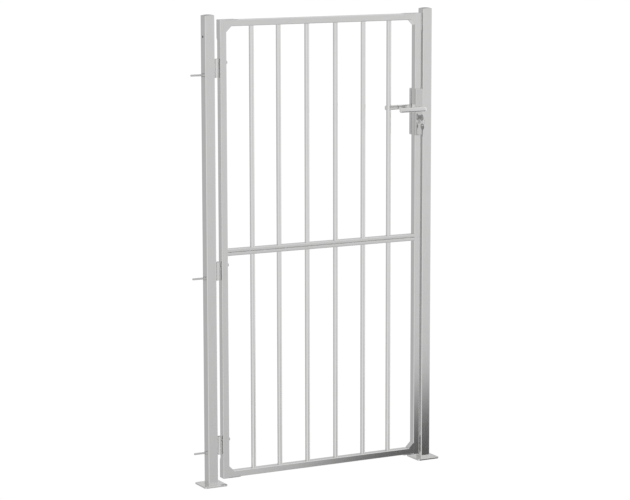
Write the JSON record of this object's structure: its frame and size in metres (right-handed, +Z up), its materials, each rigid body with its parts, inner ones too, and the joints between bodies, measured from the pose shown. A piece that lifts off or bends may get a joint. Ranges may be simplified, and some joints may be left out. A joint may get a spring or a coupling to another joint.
{
  "type": "garden gate",
  "caption": "Single-leaf barred garden gate in satin stainless steel, hung between two square posts on base plates, with a lever lock.",
  "frame": {"origin": "centre of the hinge post's base plate, on the ground", "axes": "+X along the closed gate from the hinge post to the latch post, +Y through the gate away from the front, +Z up"},
  "size_m": [1.059, 0.128, 1.8045],
  "materials": {
    "satin_stainless": "satin, finely brushed",
    "lock_steel": "satin, finer than the frame",
    "bright_steel": "turned or drawn, plain",
    "nickel_plate": "nickel plated, slightly dull"
  },
  "bodies": {
    "posts": {"hinge_post": "satin_stainless", "latch_post": "satin_stainless", "hinge_post_plate": "satin_stainless", "latch_post_plate": "satin_stainless", "hinge_post_cap": "satin_stainless", "latch_post_cap": "satin_stainless", "post_knuckles": "satin_stainless", "hinge_pins": "bright_steel", "hinge_washers": "bright_steel", "post_studs": "bright_steel", "post_stud_nuts": "bright_steel", "strike_plate": "satin_stainless", "strike_screws": "bright_steel"},
    "leaf": {"upper_hinge_stile": "satin_stainless", "upper_latch_stile": "satin_stainless", "lower_hinge_stile": "satin_stainless", "lower_latch_stile": "satin_stainless", "top_rail": "satin_stainless", "upper_mid_rail": "satin_stainless", "lower_mid_rail": "satin_stainless", "bottom_rail": "satin_stainless", "corner_gussets": "satin_stainless", "corner_guards": "satin_stainless", "joint_sleeves": "satin_stainless", "leaf_knuckles": "satin_stainless", "leaf_studs": "bright_steel", "leaf_stud_nuts": "bright_steel", "lock_case": "bright_steel", "lock_faceplate": "satin_stainless", "faceplate_screws": "bright_steel", "front_escutcheon": "lock_steel", "back_escutcheon": "lock_steel", "escutcheon_screws": "bright_steel", "cylinder_body": "nickel_plate", "cylinder_screw": "bright_steel", "rear_plug": "nickel_plate", "latch_spring": "bright_steel", "upper_bar_1": "satin_stainless", "upper_bar_2": "satin_stainless", "upper_bar_3": "satin_stainless", "upper_bar_4": "satin_stainless", "upper_bar_5": "satin_stainless", "upper_bar_6": "satin_stainless", "lower_bar_1": "satin_stainless", "lower_bar_2": "satin_stainless", "lower_bar_3": "satin_stainless", "lower_bar_4": "satin_stainless", "lower_bar_5": "satin_stainless", "lower_bar_6": "satin_stainless"},
    "latch": {"latch_bolt": "bright_steel"},
    "deadbolt": {"deadbolt": "bright_steel"},
    "levers": {"front_lever": "lock_steel", "back_lever": "lock_steel", "spindle": "bright_steel", "follower": "bright_steel"},
    "turning_key": {"front_plug": "nickel_plate", "cylinder_cam": "bright_steel", "key": "nickel_plate"},
    "key_ring": {"key_ring": "bright_steel"},
    "hanging_key": {"spare_key": "nickel_plate"}
  },
  "joints": [
    {"name": "leaf_swing", "type": "hinge", "parent": "posts", "child": "leaf", "pos_m": [0.035, 0, 0], "axis": [0, 0, 1], "range_deg": [-90, 90]},
    {"name": "lever_turn", "type": "hinge", "parent": "leaf", "child": "levers", "pos_m": [0.90075, 0, 1.411], "axis": [0, -1, 0], "range_deg": [0, 40], "stiffness_Nm_per_rad": 0.8, "springref_deg": -20.05},
    {"name": "latch_slide", "type": "slide", "parent": "leaf", "child": "latch", "axis": [-1, 0, 0], "range_m": [0, 0.0121], "deforming": ["latch_spring"]},
    {"name": "key_turn", "type": "hinge", "parent": "leaf", "child": "turning_key", "pos_m": [0.90075, 0, 1.377], "axis": [0, 1, 0], "range_deg": [0, 90]},
    {"name": "deadbolt_slide", "type": "slide", "parent": "leaf", "child": "deadbolt", "axis": [1, 0, 0], "range_m": [0, 0.0141]},
    {"name": "key_ring_swing", "type": "hinge", "parent": "turning_key", "child": "key_ring", "pos_m": [0.90075, -0.05, 1.3675], "axis": [0, 1, 0], "range_deg": [-90, 0]},
    {"name": "hanging_key_swing", "type": "hinge", "parent": "key_ring", "child": "hanging_key", "pos_m": [0.90075, -0.05, 1.3486], "axis": [-1, 0, 0], "range_deg": [-20, 60]}
  ],
  "couplings": [
    {"joint": "latch_slide", "follows": "lever_turn", "m_per_rad": 0.0172},
    {"joint": "deadbolt_slide", "follows": "key_turn", "m_per_rad": 0.008913},
    {"joint": "key_ring_swing", "follows": "key_turn", "ratio": -1}
  ]
}
